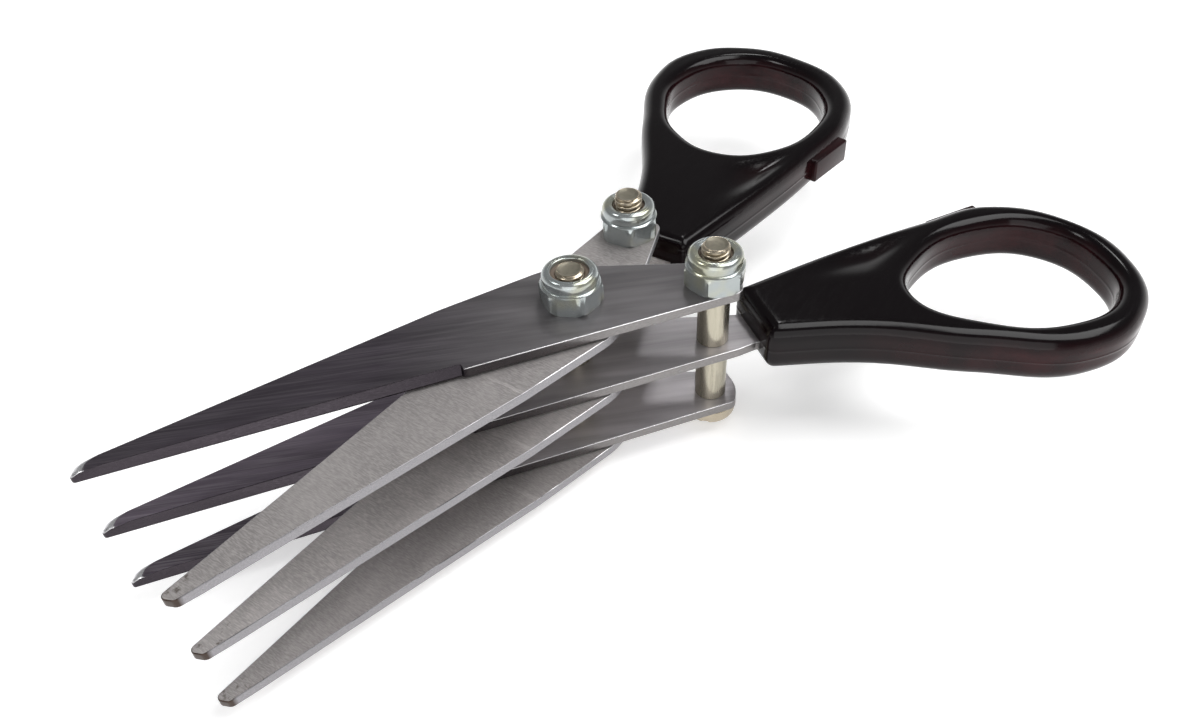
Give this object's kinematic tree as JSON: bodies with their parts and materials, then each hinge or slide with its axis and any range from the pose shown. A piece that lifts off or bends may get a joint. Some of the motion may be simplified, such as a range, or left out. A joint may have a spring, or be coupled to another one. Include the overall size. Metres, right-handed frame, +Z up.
{
  "type": "multi-blade herb scissors",
  "caption": "Scissors with stacked parallel blades on common bolts with lock nuts, and two moulded loop handles, for cutting herbs into strips.",
  "frame": {"origin": "on the pivot axis, at the flat underside of the pivot bolt's head, which is the lowest face of the scissors", "axes": "+X halfway between the two sets of blades, towards the tips; +Z up along the bolts, towards the nuts; the thumb handle lies on the +Y side"},
  "size_m": [0.1466, 0.103, 0.0316],
  "materials": {
    "blade_steel_dark": "lengthwise brushed stainless steel, dark set",
    "blade_steel_pale": "crosswise ground stainless steel, pale set",
    "bolt_steel": "plated steel bolt with a threaded end",
    "nut_zinc": "bright zinc plated lock nut",
    "insert_nylon": "natural nylon locking ring",
    "spacer_nickel": "bright warm nickel plated tube",
    "handle_plastic": "glossy near-black burgundy moulding"
  },
  "bodies": {
    "thumb_set": {"blade_a_top": "blade_steel_dark", "blade_a_middle": "blade_steel_dark", "blade_a_bottom": "blade_steel_dark", "handle_thumb": "handle_plastic", "pivot_bolt": "bolt_steel", "pivot_nut": "nut_zinc", "pivot_nut_insert": "insert_nylon", "pivot_spacer_lower": "spacer_nickel", "pivot_spacer_upper": "spacer_nickel", "link_bolt_a": "bolt_steel", "link_nut_a": "nut_zinc", "link_nut_insert_a": "insert_nylon", "link_a_spacer_lower": "spacer_nickel", "link_a_spacer_upper": "spacer_nickel"},
    "finger_set": {"blade_b_top": "blade_steel_pale", "blade_b_middle": "blade_steel_pale", "blade_b_bottom": "blade_steel_pale", "handle_finger": "handle_plastic", "link_bolt_b": "bolt_steel", "link_nut_b": "nut_zinc", "link_nut_insert_b": "insert_nylon", "link_b_spacer_lower": "spacer_nickel", "link_b_spacer_upper": "spacer_nickel"}
  },
  "joints": [
    {"name": "pivot", "type": "hinge", "parent": "thumb_set", "child": "finger_set", "pos_m": [0, 0, 0], "axis": [0, 0, 1], "range_deg": [-21.5, 40]}
  ]
}
